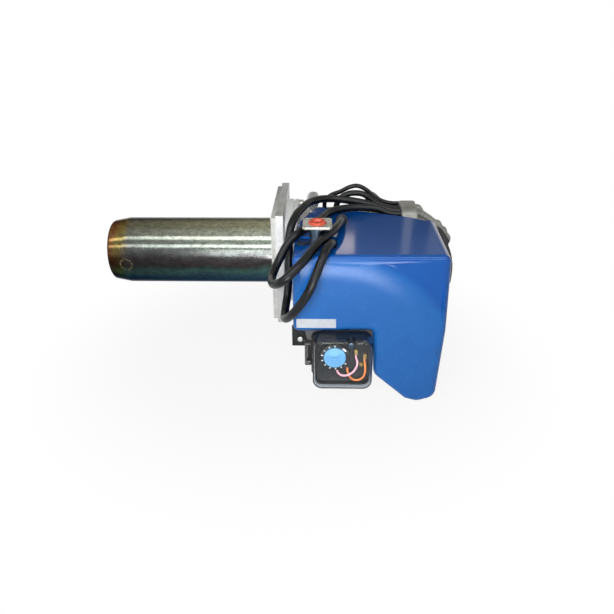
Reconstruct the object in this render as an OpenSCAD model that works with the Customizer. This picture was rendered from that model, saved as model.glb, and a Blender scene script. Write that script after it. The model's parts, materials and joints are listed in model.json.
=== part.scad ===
// Forced-draught gas burner: blast tube, flange, fan, hood, gas inlet and air pressure switch.
// Origin: centre of the flange's boiler side on the tube axis. The tube runs along -X, +Z is up.

/* [Blast tube and flange] */
// Outside diameter of the blast tube
tube_d = 90; // [80:1:96]
// Length of the blast tube in front of the flange
tube_len = 233; // [180:1:320]
// Side of the square mounting flange
flange_w = 150; // [148:1:170]
// Thickness of the flange plate
flange_t = 10; // [8:0.5:14]
// Spacing of the four stud holes
stud_pitch = 114; // [112:1:120]
// Diameter of the stud holes
stud_hole_d = 11; // [9:0.5:12]
// Thickness of the insulating gasket
gasket_t = 6; // [3:0.5:10]

/* [Fan and motor] */
// Diameter of the fan wheel
fan_d = 124; // [110:1:128]
// Outside radius of the scroll
scroll_r = 98; // [94:0.5:100]
// Diameter of the motor
motor_d = 84; // [70:1:84]
// Length of the motor can between its end shields
motor_len = 60; // [45:1:62]
// Diameter of the motor shaft
shaft_d = 12; // [8:0.5:14]
// Opening angle of the air damper as drawn, from shut
damper_angle = 0; // [0:1:75]

/* [Hood] */
// Height of the hood's top above the tube axis
hood_top = 60; // [59:0.5:66]
// Distance of the hood's near face from the tube axis
hood_near = 168; // [167:0.5:170]
// Wall of the hood
hood_wall = 3; // [2:0.25:3]

/* [Gas inlet] */
// Side of the square gas plate
gas_plate_w = 34; // [32:0.5:40]
// Spacing of the holes in the gas plate
gas_pitch = 25; // [23:0.5:27]
// Diameter of those holes
gas_hole_d = 5.2; // [4:0.2:5.4]
// Outside diameter of the gas pipe
gas_pipe_d = 18; // [17:0.5:18]

/* [Pressure switch and cables] */
// Width of the clear switch cover
switch_w = 70; // [64:0.5:72]
// Height of the clear switch cover
switch_h = 66.5; // [60:0.5:67]
// Diameter of the setting dial
dial_d = 26; // [22:0.5:29]
// Diameter of the two thick cables
cable_od = 10; // [8:0.5:10]

/* [Hidden] */
$fn = 64;
eps = 0.01;
run_gap = 0.05;
loose = 0.3;
tube_r = tube_d / 2;
gasket_w = flange_w - 8;
tube_wall = 1.5;
// rounded nose of the tube: its length and how far it draws in
nose_len = 24;
nose_drop = 8;
// collar: the flange's own boss, then the housing's ring
boss_r = 71;
boss_x = flange_t + 10;
lip_x = boss_x - 3;
ring_x = boss_x + 7;
bolt_r = sqrt(20 * 20 + 59 * 59);
bolt_a = atan2(20, 59);
// fan axis and scroll
fx = 150;
fz = -42;
near_y = -43;
far_y = 45;
wall = 6;
// the scroll is full size in its far part only
step_y = 18;
near_r = 77;
plate_t = 4;
plate_y = near_y - plate_t;
duct_x = ring_x;
duct_top = 49;
duct_low = -46;
inlet_r = 48;
motor_r = motor_d / 2;
shaft_r = shaft_d / 2;
shield_y = plate_y - 10;
can_y = shield_y - motor_len;
cap_y = can_y - 12;
bearing_r = 14;
// ear on the scroll's rim
ear_r = scroll_r + 5.5;
// gas line
gx = 53.5;
gy = -122;
gas_z = 80;
gas_top = gas_z + 3;
pipe_r = gas_pipe_d / 2;
plug_bore = 8;
inner_r = 8;
head_x = -tube_len + 24;
// hood
hx0 = 25.5;
// near part of the hood is wider than the part beside the collar
hood_step = ring_x + 1;
// slanting bush for the first cable
bush_x = 84;
bush_y = -46;
bush_r = 7.5;
bush_tilt = acos(5 / 13);
hx1 = fx + 55;
// raised field: centre and radius of its edge, width and height of its slope
field_x = 64;
field_z = -102;
field_r = 167;
field_slope = 34;
field_rise = 4;
// switch
sx = 84;
sz = -66.25;
base_y = -172.5;
base_x = 47;
clip_low = -82;
clip_top = -51;
cover_y = base_y - 2.5;
cover_front = -198;
body_y = -183;
cap_x = 84;
cut_x = sx + switch_w / 2 + 0.5;
screw_x = sx + 9.5;
screw_z = sz + switch_h / 2 - 4.7;
screw_boss_r = 4.5;
// front of the body's rim, inside the clear cover
tray_y = -190;
cap_z = -36;
dial_x = sx - switch_w / 2 + 26;
dial_z = sz + 5.25;
// screw terminals in the switch
term_a = [sx + switch_w / 2 - 19, sz + 9.25];
term_b = [sx + switch_w / 2 - 8.7, sz + 3.75];
binding = [sx + switch_w / 2 - 12.5, sz - 5.25];
bracket_y = -152;
bracket_t = 2.5;
// damper
ring_r = inlet_r + 5;
dx0 = fx - ring_r - 13;
dx1 = fx + ring_r + 13;
dy1 = 95;
damper_y = 70;
damper_z = -84;
entry_x = fx + 14;

// routes of the cables, millimetres
route_a = [[84, -48.4, 61], [84, -58, 65], [83.5, -70, 68.5], [81.5, -84, 70.5], [77.5, -101, 71.5],
    [71.5, -119, 71.5], [57.5, -147, 70], [50, -166, 67.5],
    [41, -185, 63], [31, -199, 57], [20, -205, 48], [10, -198, 39], [3, -178, 33],
    [3, -156, 34], [9, -139, 43], [17, -130, 56.5], [28.5, -122, 68], [42, -100, 69.5],
    [58, -62, 68], [72, -30, 67], [89, -16, 66], [110, -9, 65], [entry_x - 28, -8, 62],
    [entry_x - 17, -9.5, 57.5], [entry_x - 8, -10, 56], [entry_x, -10, 56]];
route_b = [[70, -124, 38], [70, -124, 44], [70, -127, 52.5], [70.3, -134, 60.5], [70.3, -144, 66],
    [68.8, -155, 68], [64.5, -167, 67.5], [60, -180, 62], [53, -190, 47], [45, -194, 28], [35, -191, 10],
    [24, -184, -7], [15.5, -166, -20], [15, -143, -20], [17, -121, -6], [18, -110, 15],
    [18.5, -104, 37], [18.5, -97, 56], [22.5, -82, 70], [33, -50, 77], [50, -12, 76],
    [72, 4, 73], [92, 4, 71], [112, 3, 68], [entry_x - 30, 2, 62.5], [entry_x - 18, 2, 58.5],
    [entry_x - 9, 2, 57], [entry_x, 2, 57]];
route_c = [[62, 30, 49], [62, 30, 60], [68, 28, 69], [84, 25, 77], [98, 24, 84], [107, 24, 85],
    [118, 24, 80], [entry_x - 34, 24, 70], [entry_x - 22, 24, 63.5],
    [entry_x - 9, 24, 60.5], [entry_x, 24, 60.5]];
route_d = [[78, 14, 49], [78, 14, 60], [82, 14, 69], [92, 14, 76], [104, 14, 78], [115, 14, 76],
    [entry_x - 37, 13.5, 68], [entry_x - 24, 13.5, 61], [entry_x - 9, 13, 57], [entry_x, 13, 57]];
route_pink = [[term_a[0], -185, term_a[1]], [term_a[0], -185, term_a[1] - 4], [101.6, -187, -67],
    [99.5, -189, -75], [93.5, -190, -81.5], [86.5, -190, -84], [82, -189, -83.4], [79.6, -188, -82],
    [78.4, -186.6, -80.8], [78, -185, -80.3], [78, -183, -80.3]];
route_orange = [[term_b[0], -185, term_b[1]], [term_b[0], -185, term_b[1] - 4], [111.3, -186, -74],
    [111, -187, -82], [107.5, -187.5, -89], [101, -187.5, -91.8], [95, -187, -89.5],
    [91.5, -186.4, -84], [90.2, -185.8, -79.5], [90, -185, -77.5], [90, -183, -77.5]];

module xcyl(x0, x1, y, z, r) {
    translate([x0, y, z]) rotate([0, 90, 0]) cylinder(h = x1 - x0, r = r);
}

module ycyl(y0, y1, x, z, r) {
    translate([x, y0, z]) rotate([-90, 0, 0]) cylinder(h = y1 - y0, r = r);
}

module zcyl(z0, z1, x, y, r) {
    translate([x, y, z0]) cylinder(h = z1 - z0, r = r);
}

module bx(x0, x1, y0, y1, z0, z1) {
    translate([x0, y0, z0]) cube([x1 - x0, y1 - y0, z1 - z0]);
}

// an X-Z outline drawn out along Y
module xz(y0, y1) {
    translate([0, y1, 0]) rotate([90, 0, 0]) linear_extrude(y1 - y0) children();
}

module at_bolts() {
    for (a = [0:90:270]) rotate([a - bolt_a, 0, 0]) translate([0, 0, bolt_r]) children();
}

module at_studs() {
    for (y = [-1, 1], z = [-1, 1]) translate([0, y * stud_pitch / 2, z * stud_pitch / 2]) children();
}

// places of the screws that hold the motor plate
plate_at = [for (a = [20, 75, 195, 225, 280, 330])
    [fx + (near_r - 7.5) * cos(a), fz + (near_r - 7.5) * sin(a)]];

// places of the cowl screws on the far wall
cowl_at = [[dx0 + 4, 6], [dx1 - 4, 6], [dx0 + 4, -92], [dx1 - 4, -92]];

function unit(v) = v / norm(v);
function tang(p, i) = unit(i == 0 ? p[1] - p[0] : i == len(p) - 1 ? p[i] - p[i - 1]
    : unit(p[i + 1] - p[i]) + unit(p[i] - p[i - 1]));
function first_n(t) = unit(cross(t, abs(t[0]) < 0.7 ? [1, 0, 0] : [0, 1, 0]));
function normals(p, i = 0, acc = []) = i == len(p) ? acc
    : let (t = tang(p, i), n = i == 0 ? first_n(t) : acc[i - 1] - (acc[i - 1] * t) * t)
      normals(p, i + 1, concat(acc, [unit(n)]));

// a round tube through the points of a route
module swept(p, r, n) {
    nn = normals(p);
    m = len(p);
    pts = [for (i = [0:m - 1], k = [0:n - 1]) let (b = cross(tang(p, i), nn[i]))
        p[i] + r * (cos(360 * k / n) * nn[i] + sin(360 * k / n) * b)];
    sides = [for (i = [0:m - 2], k = [0:n - 1], h = [0, 1]) let (q = (k + 1) % n)
        h == 0 ? [i * n + k, i * n + q, (i + 1) * n + q] : [i * n + k, (i + 1) * n + q, (i + 1) * n + k]];
    polyhedron(pts, concat(sides, [[for (k = [n - 1:-1:0]) k], [for (k = [0:n - 1]) (m - 1) * n + k]]));
}

module blast_tube() color("#8d8a63") {
    r2 = tube_r - tube_wall;
    nose_x = -tube_len + nose_len;
    outer = [for (a = [0:15:90]) [tube_r - nose_drop * (1 - cos(a)), nose_x - nose_len * sin(a)]];
    inner = [for (a = [90:-15:0]) [r2 - nose_drop * (1 - cos(a)), nose_x - (nose_len - tube_wall) * sin(a)]];
    lip = [[tube_r - 13, -tube_len], [tube_r - 13, -tube_len + tube_wall]];
    rear = [[r2, boss_x], [tube_r + 4.5, boss_x], [tube_r + 4.5, lip_x], [tube_r, lip_x]];
    rotate([0, 90, 0]) rotate_extrude() polygon(concat(outer, lip, inner, rear));
}

module flange_gasket() color("#efeee8") {
    difference() {
        bx(-gasket_t, 0, -gasket_w / 2, gasket_w / 2, -gasket_w / 2, gasket_w / 2);
        xcyl(-gasket_t - 1, 1, 0, 0, tube_r + 1);
        at_studs() xcyl(-gasket_t - 1, 1, 0, 0, stud_hole_d / 2 + 0.5);
    }
}

module mounting_flange() color("#b9bbbc") {
    difference() {
        union() {
            bx(0, flange_t, -flange_w / 2, flange_w / 2, -flange_w / 2, flange_w / 2);
            xcyl(flange_t - 1, boss_x - 1, 0, 0, boss_r);
            xcyl(flange_t, boss_x, 0, 0, boss_r - 2.5);
        }
        xcyl(-1, boss_x + 1, 0, 0, tube_r + loose);
        xcyl(lip_x, boss_x + 1, 0, 0, tube_r + 4.5 + loose);
        at_studs() xcyl(-1, flange_t + 1, 0, 0, stud_hole_d / 2);
        at_bolts() xcyl(flange_t - 4, boss_x + 1, 0, 0, 4.2);
    }
}

module collar_bolts() color("#c9cbcc") {
    at_bolts() {
        xcyl(boss_x - 11, ring_x + 2, 0, 0, 3.9);
        translate([ring_x, 0, 0]) rotate([0, 90, 0]) cylinder(h = 5.5, r = 7.5, $fn = 6);
    }
}

function on_rim(a, r) = [fx + r * cos(a), fz + r * sin(a)];

module fan_housing() color("#b4b6b7") {
    difference() {
        union() {
            xcyl(boss_x, ring_x, 0, 0, boss_r - 2.5);
            xcyl(boss_x + 1, ring_x, 0, 0, boss_r);
            bx(duct_x - 1, fx, near_y, far_y, duct_low, duct_top);
            ycyl(near_y, far_y, fx, fz, near_r);
            ycyl(step_y, far_y, fx, fz, scroll_r);
            // cast boss on the duct and the cable entry on the scroll
            ycyl(14, far_y, 45.5, 63.5, 8.5);
            bx(41, 50, 18, far_y, duct_top - 2, 62);
            for (y = [-4, 20]) xcyl(entry_x, entry_x + 22, y, 48, 17);
            bx(entry_x, entry_x + 22, -4, 20, 31, 65);
            bx(entry_x, entry_x + 22, -21, 37, 26, 48);
            // right of the entry the scroll comes nearer and ends obliquely
            difference() {
                ycyl(-12, step_y + 1, fx, fz, scroll_r);
                bx(0, entry_x, -20, step_y + 2, -200, 100);
                bx(0, 400, -20, step_y + 2, -200, 0);
                translate([fx + 46, -14, -200])
                    rotate([0, 0, 51])
                        translate([-100, -300, 0]) cube([400, 300, 400]);
            }
            // web on the far side and bosses on the rim
            xz(far_y - 8, far_y)
                polygon([[118, 40], [119, 72], [127, 72.5], [134, 69], [143, 60], [147, 52], [152, 40]]);
            for (a = [62, 100]) ycyl(step_y, far_y, fx + scroll_r * cos(a), fz + scroll_r * sin(a), 6);
            // ear that stands out of the rim at the upper right
            intersection() {
                ycyl(step_y, step_y + 14, fx, fz, ear_r);
                xz(step_y - 1, step_y + 15)
                    polygon([[fx, fz], for (a = [31.5, 57, 80]) on_rim(a, 2 * ear_r)]);
            }
            for (q = [[31.5, ear_r - 5, 7], [38, ear_r - 3.5, 6.5], [45, ear_r - 3.5, 6.5],
                    [66, ear_r - 2.5, 7.5]])
                let (c = on_rim(q[0], q[1])) ycyl(step_y, step_y + 14, c[0], c[1], q[2]);
        }
        xcyl(boss_x - 1, duct_x + 1, 0, 0, tube_r + 1);
        difference() {
            union() {
                bx(duct_x, fx - wall, near_y - 1, far_y - 4, duct_low + wall, duct_top - wall);
                ycyl(near_y - 1, far_y - 4, fx, fz, near_r - wall);
                ycyl(step_y + 4, far_y - 4, fx, fz, scroll_r - wall);
            }
            // tongue between the scroll and the outlet
            bx(50, fx - fan_d / 2 - 4, near_y, far_y, duct_low, duct_low + wall);
            for (p = plate_at) ycyl(near_y, far_y, p[0], p[1], 5.2);
            for (x = [38, 66]) ycyl(near_y, near_y + 20, x, duct_low + wall + 2, 6.5);
        }
        for (p = plate_at) ycyl(near_y - 1, near_y + 16, p[0], p[1], 2.3);
        for (x = [38, 66]) ycyl(near_y - 1, near_y + 16, x, duct_low + wall + 2, 2.3);
        ycyl(far_y - 5, far_y + 1, fx, fz, inlet_r);
        at_bolts() xcyl(boss_x - 1, ring_x + 1, 0, 0, 4.3);
        for (p = cowl_at) ycyl(far_y - 5, far_y + 1, p[0], p[1], 2.2);
    }
}

module motor_plate() color("#1d1e20") {
    difference() {
        union() {
            ycyl(plate_y, near_y, fx, fz, near_r - 1);
            bx(fx, hx1 - 3, plate_y, near_y, 16, 36);
            bx(duct_x + 2, fx, plate_y, near_y, duct_low + 2, duct_top - 2);
            bx(duct_x + 1, 46, plate_y, near_y, -64, -40);
            // lugs that take the hood screws
            for (z = [20, -30]) bx(hx1 - 11, hx1 - 3, plate_y - 15, plate_y + 1, z, z + 14);
        }
        ycyl(plate_y - 1, near_y + 1, fx, fz, 17);
        for (p = plate_at) ycyl(plate_y - 1, near_y + 1, p[0], p[1], 2.5);
        for (x = [38, 66]) ycyl(plate_y - 1, near_y + 1, x, duct_low + wall + 2, 2.5);
        ycyl(plate_y - 1, near_y + 1, gx, 0, inner_r + loose);
        for (z = [-18, 18]) ycyl(plate_y - 1, near_y + 1, gx, z, 2.1);
        ycyl(plate_y - 1, near_y + 1, cap_x, cap_z, 2.5);
        for (z = [27, -23]) xcyl(hx1 - 12, hx1, plate_y - 8, z, 2.2);
    }
}

module plate_screws() color("#c9cbcc") {
    for (p = concat(plate_at, [[38, duct_low + wall + 2], [66, duct_low + wall + 2]])) {
        ycyl(plate_y - 3, plate_y, p[0], p[1], 4.4);
        ycyl(plate_y - 1, near_y + 12, p[0], p[1], 2);
    }
}

module motor_shield() color("#a9abad") {
    difference() {
        union() {
            ycyl(shield_y, plate_y, fx, fz, motor_r + 1);
            ycyl(plate_y - 1, near_y, fx, fz, 16.5);
        }
        ycyl(shield_y - 1, near_y + 1, fx, fz, shaft_r + 2);
        ycyl(plate_y - 6, near_y + 1, fx, fz, bearing_r);
        for (a = [45:90:315])
            ycyl(shield_y - 1, plate_y - 2, fx + (motor_r - 6) * cos(a), fz + (motor_r - 6) * sin(a), 2.2);
    }
}

module motor_can() color("#3b3f44") {
    difference() {
        ycyl(can_y, shield_y, fx, fz, motor_r);
        ycyl(can_y - 1, shield_y + 1, fx, fz, motor_r - 13);
        for (a = [45:90:315])
            ycyl(can_y - 1, shield_y + 1, fx + (motor_r - 6) * cos(a), fz + (motor_r - 6) * sin(a), 2.2);
    }
}

module motor_end_cap() color("#a9abad") {
    difference() {
        union() {
            ycyl(can_y - 8, can_y, fx, fz, motor_r + 1);
            ycyl(cap_y - 2, can_y, fx, fz, 20);
        }
        ycyl(cap_y + 2, can_y + 1, fx, fz, bearing_r);
        for (a = [45:90:315])
            ycyl(can_y - 9, can_y + 1, fx + (motor_r - 6) * cos(a), fz + (motor_r - 6) * sin(a), 2.2);
    }
}

module motor_bolts() color("#c9cbcc") {
    for (a = [45:90:315]) {
        ycyl(can_y - 11, can_y - 8, fx + (motor_r - 6) * cos(a), fz + (motor_r - 6) * sin(a), 4);
        ycyl(can_y - 9, shield_y + 6, fx + (motor_r - 6) * cos(a), fz + (motor_r - 6) * sin(a), 2);
    }
}

module motor_bearings() color("#d5d7d8") {
    for (y = [plate_y - 6, cap_y + 2]) difference() {
        ycyl(y, y + 8, fx, fz, bearing_r);
        ycyl(y - 1, y + 9, fx, fz, shaft_r + run_gap);
    }
}

module motor_shaft() color("#c2c4c6") {
    ycyl(cap_y + 3, 4, fx, fz, shaft_r);
}

module motor_rotor() color("#7b7f83") {
    difference() {
        ycyl(can_y + 6, shield_y - 6, fx, fz, motor_r - 13.6);
        ycyl(can_y + 5, shield_y - 5, fx, fz, shaft_r);
    }
}

module impeller() color("#9da0a3") {
    r = fan_d / 2;
    difference() {
        union() {
            ycyl(-30, -28, fx, fz, r);
            ycyl(-30, 2, fx, fz, shaft_r + 7);
        }
        ycyl(-31, 3, fx, fz, shaft_r);
    }
    difference() {
        ycyl(24, 26, fx, fz, r);
        ycyl(23, 27, fx, fz, r - 12);
    }
    translate([fx, 0, fz]) for (a = [0:10:350]) rotate([0, a, 0]) translate([r - 6, 0, 0])
        rotate([0, 32, 0]) translate([-5.2, -28.5, -0.6]) cube([10.4, 53, 1.2]);
}

module run_capacitor() color("#d9dadb") {
    ycyl(-104, plate_y - 6, fx + 24, -106, 15);
    ycyl(plate_y - 6, plate_y, fx + 24, -106, 6);
}

module inlet_ring() color("#a6a9ab") {
    difference() {
        union() {
            ycyl(far_y, far_y + 3, fx, fz, ring_r);
            ycyl(31, far_y + 2, fx, fz, inlet_r - loose);
        }
        ycyl(30, far_y + 4, fx, fz, inlet_r - 3);
    }
}

module intake_cowl() color("#232528") {
    difference() {
        union() {
            bx(dx0 + 8, dx1 - 8, far_y, dy1, -104, 18);
            bx(dx0, dx1, far_y, far_y + 4, -104, 18);
        }
        bx(dx0 + 11, dx1 - 11, far_y - 1, dy1 - 3, -105, 15);
        for (p = cowl_at) ycyl(far_y - 1, far_y + 5, p[0], p[1], 2.3);
        xcyl(dx0, dx1, damper_y, damper_z, 3 + run_gap);
    }
}

module cowl_screws() color("#c9cbcc") {
    for (p = cowl_at) {
        ycyl(far_y + 4, far_y + 6.5, p[0], p[1], 3.8);
        ycyl(far_y, far_y + 5, p[0], p[1], 2);
    }
}

module damper_flap() color("#bfc1c3") {
    translate([0, damper_y, damper_z]) rotate([damper_angle, 0, 0]) {
        xcyl(dx0 + 4, dx1 + 6, 0, 0, 3);
        bx(dx0 + 13, dx1 - 13, -19.5, 19.5, -1, 1);
    }
}

module damper_knob() color("#1c1c1e") {
    translate([0, damper_y, damper_z]) rotate([damper_angle, 0, 0]) difference() {
        union() {
            xcyl(dx1 - 6, dx1 + 6, 0, 0, 11);
            bx(dx1 - 6, dx1 + 9, -2.5, 2.5, -10, 10);
        }
        xcyl(dx1 - 7, dx1 + 6, 0, 0, 3);
    }
}

// outline of the hood's near face, X and Z
module hood_outline() {
    offset(r = -5) offset(delta = 5) offset(r = 7) offset(delta = -7) polygon([[hx0, hood_top],
        [hx1, hood_top], [hx1 + 1, -33], [hx1 - 5, -127], [hx1 - 27, -134], [hx1 - 42, -130],
        [cut_x + 3, -94], [cut_x, -33], [hx0, -35]]);
}

module hood_inside() {
    offset(delta = -hood_wall) offset(r = 7) offset(delta = -7) polygon([[hx0, hood_top],
        [hx1, hood_top], [hx1 + 1, -33], [hx1 - 5, -127], [hx1 - 13, -300], [hx0, -300]]);
}

module cover_hood() color("#1b62b0") {
    difference() {
        union() {
            xz(-hood_near, 12) hood_outline();
            // raised field: round on the right, straight on the left
            intersection() {
                xz(-hood_near - field_rise, -hood_near + 1) hood_outline();
                union() {
                    translate([field_x, -hood_near - field_rise, field_z]) rotate([-90, 0, 0])
                        cylinder(h = field_rise + 1, r1 = field_r - field_slope,
                            r2 = field_r + field_slope / field_rise);
                    translate([hx0 - 1, 0, field_z]) rotate([90, 0, 90]) linear_extrude(field_x - hx0 + 1)
                        polygon([[-hood_near + 1, field_r + field_slope / field_rise],
                            [-hood_near - field_rise, field_r - field_slope],
                            [-hood_near - field_rise, -40], [-hood_near + 1, -40]]);
                }
            }
        }
        xz(-hood_near + hood_wall, 13) hood_inside();
        // far edge, oblique in plan
        translate([0, 0, -200]) linear_extrude(300)
            polygon([[hx0 - 5, -58], [hood_step, -58], [50, 4], [61, 6], [fx + 16, -31], [fx + 40, plate_y],
                [hx1 + 9, plate_y], [hx1 + 9, 20], [hx0 - 5, 20]]);
        // near wall only below the cut-out
        bx(hx0 - 3, hood_step, -76, 13, -60, hood_top + 1);
        bx(hx0 - 3, hx0 + hood_wall + 4, -76, 13, -60, hood_top - hood_wall);
        bx(hx0 - 3, hx1 - 40, -hood_near + hood_wall, 13, -140, -20);
        // notch for the gas pipe and the cable, hole for the grommet
        bx(hx0 - 3, 68, -136, -107, hood_top - 9, hood_top + 1);
        bx(62, 76.5, -144, -107, hood_top - 9, hood_top + 1);
        at_exit() translate([0, 0, -30]) cylinder(h = 60, r = bush_r + loose);
        xcyl(hx1 - 12, hx1 + 9, -104, 34, 8);
        for (z = [27, -23]) xcyl(hx1 - 12, hx1 + 9, plate_y - 8, z, 2.4);
    }
}

module hood_screws() color("#c9cbcc") {
    for (z = [27, -23]) {
        xcyl(hx1 + 1, hx1 + 3.5, plate_y - 8, z, 4.4);
        xcyl(hx1 - 9, hx1 + 2, plate_y - 8, z, 2);
    }
}

module at_exit() {
    translate([bush_x, bush_y, hood_top]) rotate([bush_tilt, 0, 0]) children();
}

module cable_grommet() color("#17181a") {
    at_exit() translate([0, 0, -7.8]) cylinder(h = 10.4, r = bush_r);
}

module control_shelf() color("#c4c6c8") {
    bx(fx - 42, hx1 - 9, -150, plate_y, 6, 8);
    bx(fx - 42, hx1 - 13, plate_y - 2, plate_y, 7, 20);
}

module control_box() color("#2a2c30") {
    difference() {
        bx(fx - 38, hx1 - 13, -148, -62, 8, 52);
        xcyl(hx1 - 23, hx1 - 12, -104, 34, 6 + run_gap);
    }
}

module reset_button() color("#c0392b") {
    xcyl(hx1 - 19, hx1 - 1, -104, 34, 6);
}

module ignition_transformer() color("#33363a") {
    bx(70, fx - motor_r - 2, -146, plate_y, -29, 20);
}

module terminal_strip() color("#d8d9d4") {
    difference() {
        bx(63.2, fx - motor_r - 2, -142, -52, 20, 38);
        for (y = [-112, -102, -92, -82, -72]) zcyl(34, 39, fx - 52, y, 3);
    }
}

module gas_elbow() color("#a3a5a6") {
    difference() {
        union() {
            zcyl(0, gas_z, gx, gy, pipe_r);
            translate([gx, gy, 0]) sphere(r = pipe_r);
            ycyl(gy, plate_y - 4, gx, 0, pipe_r);
            ycyl(plate_y - 4, plate_y, gx, 0, 13);
            bx(gx - 6, gx + 6, plate_y - 4, plate_y, -18, 18);
            for (z = [-18, 18]) ycyl(plate_y - 4, plate_y, gx, z, 6);
            bx(gx - 24, gx + 9.5, gy - 13, gy + 14, 54, 57);
        }
        zcyl(0, gas_z + 1, gx, gy, plug_bore - 1.5);
        ycyl(gy, plate_y + 1, gx, 0, plug_bore - 1.5);
        for (z = [-18, 18]) ycyl(plate_y - 5, plate_y + 1, gx, z, 2.3);
    }
}

module elbow_screws() color("#c9cbcc") {
    for (z = [-18, 18]) {
        ycyl(plate_y - 7, plate_y - 4, gx, z, 3.8);
        ycyl(plate_y - 5, near_y - 1, gx, z, 1.9);
    }
}

module gas_plate() color("#b7b1a4") {
    h = gas_plate_w / 2;
    c = 3;
    difference() {
        translate([gx, gy, gas_z]) linear_extrude(gas_top - gas_z)
            polygon([[h, h - c], [h - c, h], [c - h, h], [-h, h - c],
                [-h, c - h], [c - h, -h], [h - c, -h], [h, c - h]]);
        zcyl(gas_z - 1, gas_top + 1, gx, gy, plug_bore);
        for (x = [-1, 1], y = [-1, 1])
            zcyl(gas_z - 1, gas_top + 1, gx + x * gas_pitch / 2, gy + y * gas_pitch / 2, gas_hole_d / 2);
    }
}

module gas_plug() color("#d4552a") {
    difference() {
        union() {
            zcyl(gas_top, gas_top + 2.5, gx, gy, 10.5);
            zcyl(gas_z + 0.5, gas_top + 1, gx, gy, plug_bore - 0.1);
        }
        zcyl(gas_top - 2, gas_top + 4, gx, gy, 6.5);
    }
}

module gas_pipe() color("#9fa2a4") {
    difference() {
        union() {
            ycyl(plate_y, 0, gx, 0, inner_r);
            xcyl(head_x, gx, 0, 0, inner_r);
            translate([gx, 0, 0]) sphere(r = inner_r);
        }
        ycyl(plate_y - 1, 0, gx, 0, inner_r - 1.5);
        xcyl(head_x - 1, gx, 0, 0, inner_r - 1.5);
    }
}

module gas_head() color("#8e9193") {
    difference() {
        xcyl(head_x - 8, head_x + 14, 0, 0, 15);
        xcyl(head_x, head_x + 15, 0, 0, inner_r);
        xcyl(head_x - 4, head_x + 1, 0, 0, inner_r - 1.5);
        for (a = [0:45:315]) rotate([a, 0, 0]) zcyl(0, 20, head_x - 2, 0, 1.4);
    }
}

module diffuser_plate() color("#7f8284") {
    difference() {
        xcyl(head_x - 10, head_x - 8, 0, 0, tube_r - 14);
        for (a = [0:45:315]) rotate([a, 0, 0]) bx(head_x - 11, head_x - 7, -1.5, 1.5, 17, tube_r - 18);
        rotate([22, 0, 0]) xcyl(head_x - 11, head_x - 7, 0, 23, 5.4);
        rotate([158, 0, 0]) xcyl(head_x - 11, head_x - 7, 0, 23, 4.4);
    }
}

module electrode_clamp() color("#9b9ea0") {
    difference() {
        union() {
            xcyl(head_x + 50, head_x + 60, 0, 0, inner_r + 5);
            for (a = [22, 158]) rotate([a, 0, 0]) bx(head_x + 50, head_x + 60, -7, 7, 6, 29);
        }
        xcyl(head_x + 49, head_x + 61, 0, 0, inner_r);
        for (a = [22, 158]) rotate([a, 0, 0]) xcyl(head_x + 49, head_x + 61, 0, 23, 3.5);
    }
}

module ignition_electrode() color("#e9e5da") {
    rotate([22, 0, 0]) {
        xcyl(head_x + 8, head_x + 92, 0, 23, 3.5);
        xcyl(head_x - 14, head_x + 9, 0, 23, 1.2);
        translate([head_x - 14, 0, 0]) zcyl(15, 24.2, 0, 0, 1.2);
    }
}

module ionisation_probe() color("#e4e0d4") {
    rotate([158, 0, 0]) {
        xcyl(head_x + 8, head_x + 92, 0, 23, 3.5);
        xcyl(head_x - 20, head_x + 9, 0, 23, 1.2);
    }
}

module switch_pillars() color("#b4b6b7") {
    difference() {
        union() {
            ycyl(bracket_y + bracket_t, plate_y, 33, -56, 5);
            ycyl(bracket_y + bracket_t, plate_y, 65, -22, 4);
        }
        ycyl(bracket_y, bracket_y + 22, 33, -56, 2.2);
        ycyl(bracket_y, bracket_y + 22, 65, -22, 2.2);
    }
}

module switch_bracket() color("#131416") {
    difference() {
        union() {
            bx(23, 100, bracket_y, bracket_y + bracket_t, -66, -38);
            bx(57, 100, bracket_y, bracket_y + bracket_t, -39, -21);
            bx(57, 73, bracket_y, bracket_y + bracket_t, -22, -12);
        }
        ycyl(bracket_y - 1, bracket_y + 4, 33, -56, 2.4);
        ycyl(bracket_y - 1, bracket_y + 4, 65, -22, 2.4);
        ycyl(bracket_y - 1, bracket_y + 4, cap_x, cap_z, 4 + loose);
    }
}

module bracket_screws() color("#d0d2d3") {
    ycyl(bracket_y - 2, bracket_y, 33, -56, 3.4);
    ycyl(bracket_y - 1, bracket_y + 18, 33, -56, 2);
    ycyl(bracket_y - 2.4, bracket_y, 65, -22, 3.4);
    ycyl(bracket_y - 1, bracket_y + 18, 65, -22, 2);
}

module switch_capsule() color("#a8abac") {
    difference() {
        union() {
            ycyl(-163, -155, cap_x, cap_z, 43);
            ycyl(-160.5, -157.5, cap_x, cap_z, 45);
            ycyl(-156, bracket_y, cap_x, cap_z, 18);
        }
        ycyl(-158, bracket_y + 1, cap_x, cap_z, 2.5);
    }
}

function rounded(x0, x1, z0, z1, r) = [for (q = [[x1 - r, z1 - r, 0], [x0 + r, z1 - r, 90],
    [x0 + r, z0 + r, 180], [x1 - r, z0 + r, 270]], a = [0:15:90])
    [q[0] + r * cos(q[2] + a), q[1] + r * sin(q[2] + a)]];

module switch_base() color("#18191b") {
    xz(base_y - 1, -163) polygon(rounded(base_x, 113, -94, -39.5, 6));
    bx(base_x - 5 + loose, base_x + 1, -170, -164, clip_low + 6 + loose, clip_top - 3 - loose);
    xz(cover_y, base_y) polygon(rounded(sx - switch_w / 2, sx + switch_w / 2,
        sz - switch_h / 2, sz + switch_h / 2, 11));
}

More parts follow.
